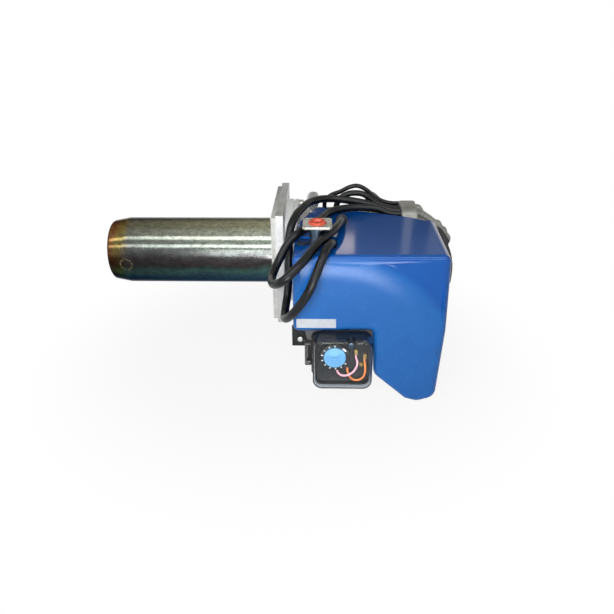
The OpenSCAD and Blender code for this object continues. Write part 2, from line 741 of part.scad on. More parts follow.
module switch_body() color("#202124") {
    difference() {
        xz(tray_y, cover_y) polygon(rounded(sx - switch_w / 2 + 2.6, sx + switch_w / 2 - 2.6,
            sz - switch_h / 2 + 2.6, sz + switch_h / 2 - 2.6, 8.4));
        xz(tray_y - 1, body_y) polygon(rounded(sx - switch_w / 2 + 4.1, sx + switch_w / 2 - 4.1,
            sz - switch_h / 2 + 4.1, sz + switch_h / 2 - 4.1, 6.9));
        ycyl(tray_y - 1, body_y, screw_x, screw_z, screw_boss_r + loose);
    }
}

module switch_cover() color("#c8d3da") {
    difference() {
        union() {
            difference() {
                xz(cover_front, cover_y) polygon(rounded(sx - switch_w / 2, sx + switch_w / 2,
                    sz - switch_h / 2, sz + switch_h / 2, 11));
                xz(cover_front + 2, cover_y + 1)
                    polygon(rounded(sx - switch_w / 2 + 2.2, sx + switch_w / 2 - 2.2,
                        sz - switch_h / 2 + 2.2, sz + switch_h / 2 - 2.2, 9));
            }
            ycyl(cover_front + 1, body_y, screw_x, screw_z, screw_boss_r);
        }
        ycyl(cover_front - 1, body_y + 1, screw_x, screw_z, 2.3);
    }
}

module cover_screw() color("#c9cbcc") {
    ycyl(cover_front - 1.4, cover_front, screw_x, screw_z, 3.6);
    ycyl(cover_front - 1, body_y, screw_x, screw_z, 2);
}

module dial_ring() color("#101113") {
    difference() {
        ycyl(body_y - 4, body_y, dial_x, dial_z, dial_d / 2 + 4.4);
        ycyl(body_y - 5, body_y - 1, dial_x, dial_z, dial_d / 2 + loose);
    }
}

module switch_dial() color("#4aa3dd") {
    difference() {
        union() {
            ycyl(body_y - 5, body_y - 1, dial_x, dial_z, dial_d / 2);
            ycyl(body_y - 5.6, body_y - 4, dial_x, dial_z, 4);
        }
        bx(dial_x - 3, dial_x + 3, body_y - 6, body_y - 4.8, dial_z - 0.6, dial_z + 0.6);
    }
}

module switch_terminals() color("#b99b4a") {
    for (p = [term_a, term_b]) {
        bx(p[0] - 1.9, p[0] + 1.9, body_y - 4, body_y, p[1], p[1] + 6);
        ycyl(body_y - 5.2, body_y - 3, p[0], p[1] + 3.8, 1.6);
    }
    ycyl(body_y - 2.5, body_y, binding[0], binding[1], 2.4);
}

// open clip beside the switch's base
module switch_clip() color("#a7a9aa") {
    bx(base_x - 8, base_x - 5, -172, -163, clip_low, clip_top);
    bx(base_x - 8, base_x, -172, -163, clip_low, clip_low + 6);
    bx(base_x - 8, base_x, -172, -163, clip_top - 3, clip_top);
}

module pressure_hose() color("#1a1b1c") {
    difference() {
        ycyl(bracket_y, plate_y, cap_x, cap_z, 4);
        ycyl(bracket_y - 1, plate_y + 1, cap_x, cap_z, 2.5);
    }
}

module wire_pink() color("#e08a97") {
    swept(route_pink, 1.2, 8);
}

module wire_orange() color("#d9692c") {
    swept(route_orange, 1.2, 8);
}

module cable_a() color("#141516") {
    swept(route_a, cable_od / 2, 10);
}

module cable_b() color("#141516") {
    swept(route_b, cable_od / 2, 10);
}

module cable_c() color("#141516") {
    swept(route_c, 3, 10);
}

module cable_d() color("#141516") {
    swept(route_d, 4, 10);
}

blast_tube();
flange_gasket();
mounting_flange();
collar_bolts();
fan_housing();
motor_plate();
plate_screws();
motor_shield();
motor_can();
motor_end_cap();
motor_bolts();
motor_bearings();
motor_shaft();
motor_rotor();
impeller();
run_capacitor();
inlet_ring();
intake_cowl();
cowl_screws();
damper_flap();
damper_knob();
cover_hood();
hood_screws();
cable_grommet();
control_shelf();
control_box();
reset_button();
ignition_transformer();
terminal_strip();
gas_elbow();
elbow_screws();
gas_plate();
gas_plug();
gas_pipe();
gas_head();
diffuser_plate();
electrode_clamp();
ignition_electrode();
ionisation_probe();
switch_pillars();
switch_bracket();
bracket_screws();
switch_capsule();
switch_base();
switch_body();
switch_cover();
cover_screw();
dial_ring();
switch_dial();
switch_terminals();
switch_clip();
pressure_hose();
wire_pink();
wire_orange();
cable_a();
cable_b();
cable_c();
cable_d();
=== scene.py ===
import json
import math

import bpy
from bpy.props import FloatProperty, FloatVectorProperty, IntProperty, PointerProperty
from bpy.types import Operator, Panel, PropertyGroup
from mathutils import Matrix, Vector
from mathutils.geometry import delaunay_2d_cdt


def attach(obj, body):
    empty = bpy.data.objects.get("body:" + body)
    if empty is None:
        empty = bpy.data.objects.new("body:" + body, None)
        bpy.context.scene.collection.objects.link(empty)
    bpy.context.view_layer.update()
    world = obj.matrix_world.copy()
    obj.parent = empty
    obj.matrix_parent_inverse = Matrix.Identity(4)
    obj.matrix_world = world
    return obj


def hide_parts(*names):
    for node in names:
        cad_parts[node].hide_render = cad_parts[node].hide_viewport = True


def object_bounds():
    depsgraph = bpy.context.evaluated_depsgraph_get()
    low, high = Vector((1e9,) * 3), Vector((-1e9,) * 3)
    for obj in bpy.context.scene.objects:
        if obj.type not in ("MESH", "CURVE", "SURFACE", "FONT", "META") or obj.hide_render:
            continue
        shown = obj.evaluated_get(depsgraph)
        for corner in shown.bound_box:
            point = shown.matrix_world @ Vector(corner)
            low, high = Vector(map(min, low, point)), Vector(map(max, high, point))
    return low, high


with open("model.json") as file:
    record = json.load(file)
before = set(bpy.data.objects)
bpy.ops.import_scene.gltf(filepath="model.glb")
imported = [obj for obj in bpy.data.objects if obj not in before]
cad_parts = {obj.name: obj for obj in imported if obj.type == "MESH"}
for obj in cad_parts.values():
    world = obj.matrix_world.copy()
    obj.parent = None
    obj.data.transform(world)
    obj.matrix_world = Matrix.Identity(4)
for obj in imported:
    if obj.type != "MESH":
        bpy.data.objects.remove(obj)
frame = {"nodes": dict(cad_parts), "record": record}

bl_info = {
    "name": "Gas burner dresser",
    "version": (1, 0, 0),
    "blender": (4, 5, 0),
    "location": "View3D > Sidebar > Burner",
    "description": "Dresses the solids of a forced-draught gas burner and sets its studio",
    "category": "Object",
}

PARTS = frame["nodes"]
BODY_OF = {part: body for body, parts in frame["record"]["behaviour"]["bodies"].items() for part in parts}
CAD_BOX = [list(corner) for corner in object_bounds()]
MM = 0.001

# places and sizes in millimetres that more than one step uses
FIELD_CENTRE = (64, -102)    # X and Z of the hood's raised field
FIELD_RADIUS = 167
FAN_CENTRE = (150, -42)      # X and Z of the fan's shaft
GAS_PORT = (53.5, -122)      # X and Y of the gas port
DIAL_CENTRE = (75, -61)      # X and Z of the switch's dial
COVER_SCREW = (93.5, -37.7)  # X and Z of the screw in the clear cover

# cable routes in metres, the same points as the solids follow
ROUTE_A = [(.084, -.0484, .061), (.084, -.058, .065), (.0835, -.070, .0685), (.0815, -.084, .0705),
           (.0775, -.101, .0715), (.0715, -.119, .0715), (.0575, -.147, .070), (.050, -.166, .0675),
           (.041, -.185, .063), (.031, -.199, .057), (.020, -.205, .048), (.010, -.198, .039),
           (.003, -.178, .033), (.003, -.156, .034), (.009, -.139, .043), (.017, -.130, .0565),
           (.0285, -.122, .068), (.042, -.100, .0695), (.058, -.062, .068), (.072, -.030, .067),
           (.089, -.016, .066), (.110, -.009, .065), (.136, -.008, .062), (.147, -.0095, .0575),
           (.156, -.010, .056), (.164, -.010, .056)]
ROUTE_B = [(.070, -.124, .038), (.070, -.124, .044), (.070, -.127, .0525), (.0703, -.134, .0605),
           (.0703, -.144, .066), (.0688, -.155, .068), (.0645, -.167, .0675), (.060, -.180, .062),
           (.053, -.190, .047), (.045, -.194, .028), (.035, -.191, .010), (.024, -.184, -.007),
           (.0155, -.166, -.020), (.015, -.143, -.020), (.017, -.121, -.006), (.018, -.110, .015),
           (.0185, -.104, .037), (.0185, -.097, .056), (.0225, -.082, .070), (.033, -.050, .077),
           (.050, -.012, .076), (.072, .004, .073), (.092, .004, .071), (.112, .003, .068),
           (.134, .002, .0625), (.146, .002, .0585), (.155, .002, .057), (.164, .002, .057)]
ROUTE_C = [(.062, .030, .049), (.062, .030, .060), (.068, .028, .069), (.084, .025, .077),
           (.098, .024, .084), (.107, .024, .085), (.118, .024, .080), (.130, .024, .070),
           (.142, .024, .0635), (.155, .024, .0605), (.164, .024, .0605)]
ROUTE_D = [(.078, .014, .049), (.078, .014, .060), (.082, .014, .069), (.092, .014, .076),
           (.104, .014, .078), (.115, .014, .076), (.127, .0135, .068), (.140, .0135, .061),
           (.155, .013, .057), (.164, .013, .057)]
ROUTE_PINK = [(.100, -.185, -.057), (.100, -.185, -.061), (.1016, -.187, -.067), (.0995, -.189, -.075),
              (.0935, -.190, -.0815), (.0865, -.190, -.084), (.082, -.189, -.0834), (.0796, -.188, -.082),
              (.0784, -.1866, -.0808), (.078, -.185, -.0803), (.078, -.183, -.0803)]
ROUTE_ORANGE = [(.1103, -.185, -.0625), (.1103, -.185, -.0665), (.1113, -.186, -.074), (.111, -.187, -.082),
                (.1075, -.1875, -.089), (.101, -.1875, -.0918), (.095, -.187, -.0895),
                (.0915, -.1864, -.084), (.0902, -.1858, -.0795), (.090, -.185, -.0775),
                (.090, -.183, -.0775)]


class BurnerSizes(PropertyGroup):
    """Sizes that shape the dressed pieces"""
    hood_edge: FloatProperty(name="Hood edge", description="Radius of the hood's near edges",
                             default=0.006, min=0.002, max=0.0065, unit="LENGTH")
    hood_crown: FloatProperty(name="Hood crown", description="How far the round field stands out of the hood",
                              default=0.0055, min=0.0, max=0.007, unit="LENGTH")
    crown_slope: FloatProperty(name="Crown slope", description="Width of the slope round the raised field",
                               default=0.034, min=0.006, max=0.05, unit="LENGTH")
    cast_edge: FloatProperty(name="Casting edge", description="Rounding on the edges of the castings",
                             default=0.0012, min=0.0003, max=0.002, unit="LENGTH")
    cover_edge: FloatProperty(name="Cover edge", description="Radius round the front of the clear cover",
                              default=0.004, min=0.001, max=0.008, unit="LENGTH")
    dial_ticks: IntProperty(name="Dial ticks", description="Number of ticks on the ring round the dial",
                            default=10, min=6, max=11)


class BurnerColours(PropertyGroup):
    """Main colours of the burner"""
    # The hood blue holds a painted sheen: it colours the raised field lighter than the deeper blue on the
    # rest of the hood
    hood: FloatVectorProperty(name="Hood", description="Paint on the hood", subtype="COLOR",
                              default=(0.016, 0.158, 0.530), min=0, max=1)
    hood_deep: FloatVectorProperty(name="Hood, outer field", description="Paint outside the raised field",
                                   subtype="COLOR", default=(0.002, 0.105, 0.460), min=0, max=1)
    casting: FloatVectorProperty(name="Casting", description="Bare cast aluminium", subtype="COLOR",
                                 default=(0.66, 0.67, 0.67), min=0, max=1)
    plug: FloatVectorProperty(name="Plug", description="Transport plug in the gas inlet", subtype="COLOR",
                              default=(0.76, 0.075, 0.022), min=0, max=1)
    dial: FloatVectorProperty(name="Dial", description="Setting dial of the pressure switch", subtype="COLOR",
                              default=(0.092, 0.280, 0.510), min=0, max=1)


# finish: dark tone, light tone, grains a metre, roughness low and high, metal, bump, other sockets
GRAINED = {
    "gasket fibre": ((.70, .70, .67), (.88, .88, .86), 420, .85, .97, 0, .30, {}),
    "bright zinc": ((.52, .53, .53), (.80, .81, .80), 260, .22, .38, 1, .05, {}),
    "black lacquer": ((.008, .008, .009), (.016, .017, .018), 160, .34, .5, 0, .06,
                      {"Specular IOR Level": .3}),
    "black moulding": ((.006, .0065, .007), (.012, .013, .014), 520, .36, .52, 0, .10,
                       {"Specular IOR Level": .3}),
    "grey enamel": ((.040, .046, .052), (.062, .068, .075), 240, .38, .5, 0, .08, {"Coat Weight": .2}),
    "motor casting": ((.33, .34, .35), (.46, .47, .48), 420, .5, .65, .6, .22, {}),
    "ground steel": ((.50, .51, .52), (.66, .67, .68), 90, .2, .34, 1, .03, {}),
    "rotor iron": ((.16, .165, .17), (.25, .255, .26), 600, .42, .58, .8, .1, {}),
    "pale moulding": ((.66, .66, .63), (.76, .76, .73), 380, .42, .55, 0, .06, {}),
    "red moulding": ((.46, .030, .018), (.58, .045, .026), 380, .32, .42, 0, .05, {"Coat Weight": .2}),
    "grey steel": ((.045, .068, .100), (.095, .135, .185), 190, .24, .44, 1, .09, {}),
    "plate zinc": ((.46, .45, .40), (.66, .65, .59), 330, .3, .46, .6, .10, {}),
    "scaled steel": ((.13, .125, .12), (.27, .265, .26), 280, .45, .65, .85, .15, {}),
    "glazed ceramic": ((.70, .68, .62), (.82, .80, .75), 120, .25, .35, 0, .04, {"Coat Weight": .4}),
    "dull tin": ((.12, .12, .125), (.19, .19, .195), 150, .5, .62, .1, .04, {"Specular IOR Level": .25}),
    "dull clip": ((.070, .070, .066), (.130, .130, .122), 260, .30, .44, .35, .06, {}),
    "dull brass": ((.34, .23, .07), (.50, .36, .13), 420, .26, .4, 1, .05, {}),
    "cable jacket": ((.0022, .0028, .0042), (.0045, .0058, .0085), 300, .26, .36, 0, .08,
                     {"Specular IOR Level": .3}),
    "soft rubber": ((.0055, .0055, .006), (.013, .013, .014), 420, .55, .7, 0, .12, {}),
    "pink sleeve": ((.60, .24, .29), (.74, .36, .42), 500, .4, .5, 0, .05, {}),
    "orange sleeve": ((.70, .155, .020), (.84, .24, .040), 500, .4, .5, 0, .05, {}),
    "white print": ((.72, .74, .76), (.86, .87, .88), 300, .5, .6, 0, .02, {}),
    "paper": ((.62, .66, .71), (.72, .76, .81), 160, .55, .7, 0, .03, {}),
}


def joined(tree, output, target):
    tree.links.new(output, target)


def new_finish(name):
    material = bpy.data.materials.new(name)
    material.use_nodes = True
    tree = material.node_tree
    place = tree.nodes.new("ShaderNodeTexCoord")
    return material, tree, tree.nodes["Principled BSDF"], place.outputs["Object"]


def noise(tree, where, scale, detail=5, stretch=None):
    """Noise over the piece, stretched along its axes where asked"""
    if stretch:
        mapping = tree.nodes.new("ShaderNodeMapping")
        mapping.inputs["Scale"].default_value = stretch
        joined(tree, where, mapping.inputs["Vector"])
        where = mapping.outputs["Vector"]
    texture = tree.nodes.new("ShaderNodeTexNoise")
    texture.inputs["Scale"].default_value = scale
    texture.inputs["Detail"].default_value = detail
    joined(tree, where, texture.inputs["Vector"])
    return texture.outputs["Fac"]


def ramp(tree, value, stops):
    """Colours by value: stops are (place, colour)"""
    node = tree.nodes.new("ShaderNodeValToRGB")
    elements = node.color_ramp.elements
    while len(elements) < len(stops):
        elements.new(0.5)
    for element, (at, colour) in zip(elements, stops):
        element.position = at
        element.color = (*colour, 1)
    joined(tree, value, node.inputs["Fac"])
    return node.outputs["Color"]


def spread(tree, value, low, high, out_low, out_high, kind="SMOOTHSTEP"):
    node = tree.nodes.new("ShaderNodeMapRange")
    node.interpolation_type = kind
    for socket, number in zip(node.inputs[1:5], (low, high, out_low, out_high)):
        socket.default_value = number
    joined(tree, value, node.inputs["Value"])
    return node.outputs["Result"]


def sums(tree, kind, a, b):
    node = tree.nodes.new("ShaderNodeMath")
    node.operation = kind
    for socket, value in zip(node.inputs, (a, b)):
        if isinstance(value, (int, float)):
            socket.default_value = value
        else:
            joined(tree, value, socket)
    return node.outputs[0]


def blended(tree, kind, amount, a, b):
    """One colour over another; amount and b may be plain values or sockets"""
    node = tree.nodes.new("ShaderNodeMix")
    node.data_type = "RGBA"
    node.blend_type = kind
    for socket, value in ((node.inputs[0], amount), (node.inputs[6], a), (node.inputs[7], b)):
        if isinstance(value, bpy.types.NodeSocket):
            joined(tree, value, socket)
        elif isinstance(value, (int, float)):
            socket.default_value = value
        else:
            socket.default_value = (*value, 1)
    return node.outputs[2]


def shaded(tree, tone, value, stops, amount=1.0):
    """The tone, made darker and lighter by a pattern"""
    return blended(tree, "MULTIPLY", amount, tone, ramp(tree, value, stops))


def axes_of(tree, where):
    """X, Y and Z of a place"""
    node = tree.nodes.new("ShaderNodeSeparateXYZ")
    joined(tree, where, node.inputs[0])
    return node.outputs


def away_from(tree, where, centre):
    """Distance from a point"""
    node = tree.nodes.new("ShaderNodeVectorMath")
    node.operation = "DISTANCE"
    node.inputs[1].default_value = centre
    joined(tree, where, node.inputs[0])
    return node.outputs["Value"]


def reach_from(tree, x, z, centre):
    """Distance in X and Z from a point in millimetres"""
    flat = tree.nodes.new("ShaderNodeCombineXYZ")
    joined(tree, x, flat.inputs["X"])
    joined(tree, z, flat.inputs["Z"])
    return away_from(tree, flat.outputs[0], (centre[0] * MM, 0, centre[1] * MM))


def raised(tree, shader, height, strength, distance=0.0006):
    """Bump on the surface"""
    node = tree.nodes.new("ShaderNodeBump")
    node.inputs["Strength"].default_value = strength
    node.inputs["Distance"].default_value = distance
    joined(tree, height, node.inputs["Height"])
    joined(tree, node.outputs["Normal"], shader.inputs["Normal"])


def grained(name):
    """A finish with grain in its tone, gloss and surface"""
    if name in bpy.data.materials:
        return bpy.data.materials[name]
    dark, light, scale, low, high, metal, bump, sockets = GRAINED[name]
    material, tree, shader, where = new_finish(name)
    coarse = noise(tree, where, scale / 6)
    fine = noise(tree, where, scale, 8)
    mixed = sums(tree, "ADD", sums(tree, "MULTIPLY", coarse, .55), sums(tree, "MULTIPLY", fine, .45))
    joined(tree, ramp(tree, mixed, [(.38, dark), (.62, light)]), shader.inputs["Base Color"])
    joined(tree, spread(tree, coarse, .35, .65, low, high), shader.inputs["Roughness"])
    shader.inputs["Metallic"].default_value = metal
    for socket, value in sockets.items():
        shader.inputs[socket].default_value = value
    raised(tree, shader, noise(tree, where, scale * 3, 4), bump)
    return material


def passivated_zinc():
    """Yellow-passivated tube: painted reflections and shade that run round the tube, gold at the nose"""
    material, tree, shader, where = new_finish("passivated zinc")
    along, across, up = axes_of(tree, where)
    turn = sums(tree, "ARCTAN2", up, sums(tree, "MULTIPLY", across, -1.0))
    cloud = noise(tree, where, 34, 4, (.5, 1, 1))
    turn = sums(tree, "ADD", turn, sums(tree, "MULTIPLY", sums(tree, "SUBTRACT", cloud, .5), .42))
    turn = spread(tree, turn, -math.pi, math.pi, 0, 1, "LINEAR")
    # Painted reflection and shade: by angle round the tube, darkest below and in front, lighter towards the
    # top
    tints_and_painted_reflections = ramp(tree, turn, [
        (.0, (.20, .19, .16)), (.19, (.07, .07, .07)), (.33, (.016, .028, .045)), (.41, (.022, .046, .066)),
        (.445, (.036, .078, .072)), (.468, (.030, .046, .042)), (.482, (.034, .028, .031)),
        (.515, (.055, .050, .054)), (.545, (.155, .165, .165)), (.60, (.185, .205, .180)),
        (.66, (.27, .27, .22)), (.76, (.30, .285, .22)), (.84, (.28, .23, .17)), (1, (.20, .19, .16))])
    tints_and_painted_reflections = shaded(tree, tints_and_painted_reflections, spread(tree, along, -.2, .0, 0, 1, "LINEAR"),
                   [(0, (.60, .60, .60)), (1, (1.5, 1.55, 1.5))])
    speck = noise(tree, where, 620, 6)
    tints_and_painted_reflections = shaded(tree, tints_and_painted_reflections, speck, [(.34, (.72, .72, .71)), (.66, (1.18, 1.18, 1.17))])
    mottle = noise(tree, where, 170, 5, (.7, 1, 1))
    tints_and_painted_reflections = shaded(tree, tints_and_painted_reflections, mottle, [(.36, (.82, .81, .82)), (.64, (1.14, 1.15, 1.13))])
    streak = noise(tree, where, 240, 3, (.08, 1, 1))
    tints_and_painted_reflections = shaded(tree, tints_and_painted_reflections, streak, [(.35, (.7, .7, .7)), (.7, (1.25, 1.25, 1.25))], .3)
    wander = sums(tree, "ADD", along, sums(tree, "MULTIPLY", cloud, .02))
    gold = spread(tree, wander, -.192, -.206, 0, 1)
    tints_and_painted_reflections = blended(tree, "MULTIPLY", gold, tints_and_painted_reflections, (1.30, .92, .36))
    red = spread(tree, wander, -.206, -.216, 0, 1)
    tints_and_painted_reflections = blended(tree, "MULTIPLY", red, tints_and_painted_reflections, (.95, .62, .75))
    dent = away_from(tree, where, (-.2065, -.0447, -.0047))
    ring = sums(tree, "MULTIPLY", spread(tree, dent, .0060, .0074, 0, 1),
                spread(tree, dent, .0084, .0100, 1, 0))
    scuff = sums(tree, "MULTIPLY", ring, spread(tree, noise(tree, where, 900, 3), .5, .6, 0, .5))
    tints_and_painted_reflections = blended(tree, "MIX", scuff, tints_and_painted_reflections, (.42, .36, .22))
    joined(tree, tints_and_painted_reflections, shader.inputs["Base Color"])
    shader.inputs["Metallic"].default_value = 1.0
    shader.inputs["Specular Tint"].default_value = (.45, .46, .50, 1)
    joined(tree, spread(tree, speck, .3, .7, .10, .18), shader.inputs["Roughness"])
    dip = sums(tree, "MULTIPLY", spread(tree, dent, 0, .0042, 0, 1), 3.0)
    height = sums(tree, "ADD", sums(tree, "MULTIPLY", noise(tree, where, 1100, 4), .10), dip)
    raised(tree, shader, height, .16, .0004)
    return material


def cast_metal(colour):
    """Sand-cast aluminium: a painted highlight makes the collar bright, painted shade makes the scroll
    duller, and the scroll's near side is coloured near-black
    """
    material, tree, shader, where = new_finish("cast aluminium")
    along, across, up = axes_of(tree, where)
    # The scroll's near side inside its rim, below Z 26 to 31 mm, is coloured near-black and made non-metallic
    lacquer = sums(tree, "MULTIPLY", spread(tree, across, .0183, .0190, 1, 0),
                   spread(tree, along, .1885, .1895, 0, 1))
    rim = spread(tree, reach_from(tree, along, up, FAN_CENTRE), .1010, .1016, 1, 0)
    lacquer = sums(tree, "MULTIPLY", lacquer, rim)
    lacquer = sums(tree, "MULTIPLY", lacquer, spread(tree, up, .026, .031, 1, 0))
    stain = noise(tree, where, 30, 5)
    sand = noise(tree, where, 900, 5)
    tone = ramp(tree, stain, [(.30, [.62 * c for c in colour]), (.52, colour),
                              (.75, [1.12 * c for c in colour])])
    tone = shaded(tree, tone, sand, [(.32, (.72, .72, .71)), (.6, (1.05, 1.05, 1.05))], .7)
    # Painted light: the collar, X 10 to 28 mm, is painted a near-white grey where light falls on it
    painted_collar_light = sums(tree, "MULTIPLY", spread(tree, along, .0103, .0108, 0, 1),
                    spread(tree, along, .0272, .0280, 1, 0))
    tone = blended(tree, "MIX", painted_collar_light, tone, (.93, .95, .97))
    # Painted shade: the casting turns a darker brownish grey towards the scroll, from X 90 to 130 mm
    tone = blended(tree, "MULTIPLY", spread(tree, along, .09, .13, 0, 1), tone, (.56, .55, .51))
    tone = blended(tree, "MIX", lacquer, tone, (.012, .012, .013))
    joined(tree, tone, shader.inputs["Base Color"])
    joined(tree, spread(tree, lacquer, 0, 1, .28, 0), shader.inputs["Metallic"])
    joined(tree, spread(tree, stain, .3, .7, .30, .46), shader.inputs["Roughness"])
    raised(tree, shader, sand, .22, .0007)
    return material


def hood_paint(inner, outer):
    """Glossy blue paint with a painted sheen: the raised field is a lighter blue than the deeper blue outside
    it
    """
    material, tree, shader, where = new_finish("hood paint")
    along, across, up = axes_of(tree, where)
    right = sums(tree, "MAXIMUM", along, FIELD_CENTRE[0] * MM)
    reach = reach_from(tree, right, up, FIELD_CENTRE)
    field = spread(tree, reach, (FIELD_RADIUS - 3.5) * MM, (FIELD_RADIUS + .5) * MM, 0, 1)
    near = spread(tree, across, -.167, -.171, 1, 0)
    # Painted sheen: the raised field takes the lighter blue, everything else the deeper one
    tone = blended(tree, "MIX", sums(tree, "MAXIMUM", field, near), inner, outer)
    dust = noise(tree, where, 26, 6)
    tone = shaded(tree, tone, dust, [(.3, (.9, .92, .95)), (.7, (1.06, 1.04, 1.02))])
    joined(tree, tone, shader.inputs["Base Color"])
    gloss = sums(tree, "ADD", spread(tree, near, 0, 1, .26, .07), spread(tree, dust, .3, .7, 0, .03))
    joined(tree, gloss, shader.inputs["Roughness"])
    shader.inputs["Specular IOR Level"].default_value = 0.3
    raised(tree, shader, noise(tree, where, 520, 3), .006, .0004)
    return material


def clear_plastic():
    """Clear polycarbonate with faint handling marks; its walls behind the front are darkened as painted shade
    """
    material, tree, shader, where = new_finish("clear plastic")
    marks = noise(tree, where, 300, 6, (.3, 1, 1.4))
    front = spread(tree, axes_of(tree, where)["Y"], -.1970, -.1945, 1, 0)
    skin = ramp(tree, marks, [(.3, (.86, .89, .92)), (.7, (.93, .95, .97))])
    # Painted shade: behind the front skin the walls take a dark grey instead of the clear tone
    tone = blended(tree, "MIX", front, (.40, .44, .48), skin)
    joined(tree, tone, shader.inputs["Base Color"])
    joined(tree, spread(tree, marks, .35, .7, .0, .035), shader.inputs["Roughness"])
    shader.inputs["Transmission Weight"].default_value = 1.0
    shader.inputs["IOR"].default_value = 1.25
    return material


def moulded(name, colour, roughness):
    """Coloured moulding whose tone comes from the panel"""
    material, tree, shader, where = new_finish(name)
    fine = noise(tree, where, 420, 5)
    tone = shaded(tree, colour, fine, [(.3, (.88, .88, .88)), (.7, (1.08, 1.08, 1.08))])
    joined(tree, tone, shader.inputs["Base Color"])
    joined(tree, spread(tree, fine, .3, .7, roughness - .05, roughness + .06), shader.inputs["Roughness"])
    shader.inputs["Coat Weight"].default_value = 0.3
    raised(tree, shader, noise(tree, where, 1300, 3), .05)
    return material


def clear_bench():
    if bpy.context.mode != "OBJECT":
        bpy.ops.object.mode_set(mode="OBJECT")
    bpy.ops.object.select_all(action="DESELECT")


def take(piece):
    clear_bench()
    piece.select_set(True)
    bpy.context.view_layer.objects.active = piece


def placed(name, points, faces):
    """A new piece from points in millimetres"""
    mesh = bpy.data.meshes.new(name)
    mesh.from_pydata([[c * MM for c in p] for p in points], [], faces)
    piece = bpy.data.objects.new(name, mesh)
    bpy.context.scene.collection.objects.link(piece)
    return piece


def closed_up(piece):
    """Merge doubles and point the faces outwards"""
    take(piece)
    bpy.ops.object.mode_set(mode="EDIT")
    bpy.ops.mesh.select_all(action="SELECT")
    bpy.ops.mesh.remove_doubles(threshold=0.000005)
    bpy.ops.mesh.normals_make_consistent(inside=False)
    bpy.ops.object.mode_set(mode="OBJECT")


def smooth(piece, degrees=35):
    take(piece)
    bpy.ops.object.shade_smooth_by_angle(angle=math.radians(degrees))


def applied(piece, kind, **settings):
    take(piece)
    modifier = piece.modifiers.new(kind.lower(), kind)
    for key, value in settings.items():
        setattr(modifier, key, value)
    bpy.ops.object.modifier_apply(modifier=modifier.name)


def softened(piece, width, steps=2, degrees=35):
    applied(piece, "BEVEL", width=width, segments=steps, limit_method="ANGLE",
            angle_limit=math.radians(degrees), use_clamp_overlap=True)
    smooth(piece, 40)
    return piece


def bench_copy(part, name):
    """A merged copy of a solid, ready for rounding"""
    mesh = PARTS[part].data.copy()
    mesh.materials.clear()
    piece = bpy.data.objects.new(name, mesh)
    bpy.context.scene.collection.objects.link(piece)
    take(piece)
    bpy.ops.mesh.customdata_custom_splitnormals_clear()
    bpy.ops.object.mode_set(mode="EDIT")
    bpy.ops.mesh.select_all(action="SELECT")
    bpy.ops.mesh.remove_doubles(threshold=0.00001)
    bpy.ops.mesh.dissolve_limited(angle_limit=math.radians(1))
    bpy.ops.object.mode_set(mode="OBJECT")
    return piece


def cast_copy(part, name):
    """A solid's copy with the soft edges and fillets of a sand casting"""
    piece = bench_copy(part, name)
    applied(piece, "REMESH", mode="VOXEL", voxel_size=0.0018)
    applied(piece, "SMOOTH", factor=0.5, iterations=5)
    take(piece)
    bpy.ops.object.shade_smooth()
    return piece


def fitted(piece, finish, slot, *parts, body=None):
    """Finish the piece, let it ride and hide the solids it stands for"""
    piece.data.materials.clear()
    piece.data.materials.append(finish)
    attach(piece, body or (BODY_OF[parts[0]] if parts else "burner"))
    if parts:
        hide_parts(*parts)
    return piece


def dressed(part, name, finish, slot, width, steps=2):
    """A solid's copy with rounded edges in its place"""
    piece = softened(bench_copy(part, name), width, steps)
    return fitted(piece, finish, slot, part)


def turned(name, profile, axis, centre, steps=96):
    """Spin a closed profile of (along, radius) in millimetres round an axis"""
    turn = {"X": lambda a, r: (a, 0, r), "Y": lambda a, r: (r, a, 0), "Z": lambda a, r: (r, 0, a)}[axis]
    points = [Vector(turn(a, r)) + Vector(centre) for a, r in profile]
    piece = placed(name, points, [])
    piece.data.edges.add(len(points))
    for i, edge in enumerate(piece.data.edges):
        edge.vertices = (i, (i + 1) % len(points))
    take(piece)
    bpy.ops.object.mode_set(mode="EDIT")
    bpy.ops.mesh.select_all(action="SELECT")
    spin_axis = {"X": (1, 0, 0), "Y": (0, 1, 0), "Z": (0, 0, 1)}[axis]
    bpy.ops.mesh.spin(steps=steps, angle=math.tau, center=Vector(centre) * MM, axis=spin_axis)
    bpy.ops.object.mode_set(mode="OBJECT")
    closed_up(piece)
    return piece


def rounded_path(corners, arc=7):
    """Outline with an arc at each corner (x, z, radius), clockwise"""
    path = []
    for i, (x, z, radius) in enumerate(corners):
        tip = Vector((x, z))
        back = (Vector(corners[i - 1][:2]) - tip).normalized()
        on = (Vector(corners[(i + 1) % len(corners)][:2]) - tip).normalized()
        half = back.angle(on) / 2
        centre = tip + (back + on).normalized() * (radius / math.sin(half))
        start = tip + back * (radius / math.tan(half)) - centre
        end = tip + on * (radius / math.tan(half)) - centre
        first = math.atan2(start.y, start.x)
        sweep = (math.atan2(end.y, end.x) - first + math.pi) % math.tau - math.pi
        for k in range(arc + 1):
            angle = first + sweep * k / arc
            path.append(centre + Vector((math.cos(angle), math.sin(angle))) * radius)
    return path


def drawn_in(path, amount):
    """The outline moved inwards"""
    moved = []
    for i, point in enumerate(path):
        before = (point - path[i - 1]).normalized()
        after = (path[(i + 1) % len(path)] - point).normalized()
        first, second = Vector((before.y, -before.x)), Vector((after.y, -after.x))
        moved.append(point + (first + second) * (amount / (1 + first.dot(second))))
    return moved


def inside(point, path):
    hit = False
    for i, b in enumerate(path):
        a = path[i - 1]
        if (a.y > point.y) != (b.y > point.y):
            if point.x < (b.x - a.x) * (point.y - a.y) / (b.y - a.y) + a.x:
                hit = not hit
    return hit


